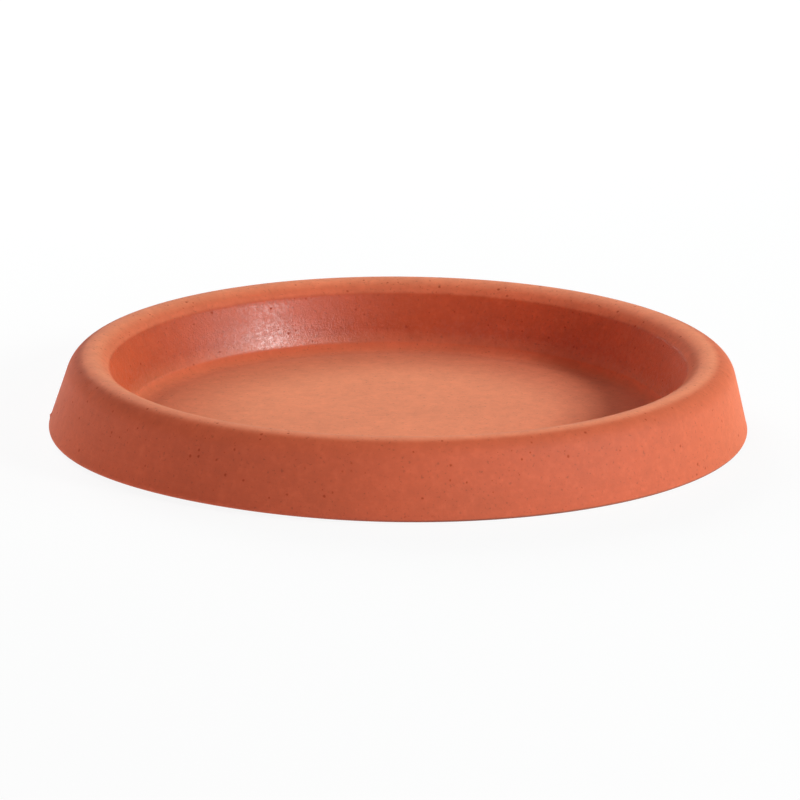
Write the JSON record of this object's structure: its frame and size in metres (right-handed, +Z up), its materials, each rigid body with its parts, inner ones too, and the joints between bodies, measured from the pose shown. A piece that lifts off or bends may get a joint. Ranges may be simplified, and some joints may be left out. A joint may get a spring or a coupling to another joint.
{
  "type": "plant pot saucer",
  "caption": "Round plant-pot saucer of plain fired clay, with a flat floor, a small cove, a wall that is widest at the foot and a thick rounded lip.",
  "frame": {"origin": "centre of the circle that the foot stands on, in the plane of the ground", "axes": "+Z up along the saucer's axis of revolution, out of the open side; +X to the right in the picture's view and +Y away from the viewer"},
  "size_m": [0.25, 0.25, 0.0275],
  "materials": {
    "terracotta": "matt fired clay, unglazed, with fine pits; the inner wall is smoother and has a faint sheen"
  },
  "bodies": {
    "root": {"saucer_body": "terracotta"}
  },
  "joints": []
}
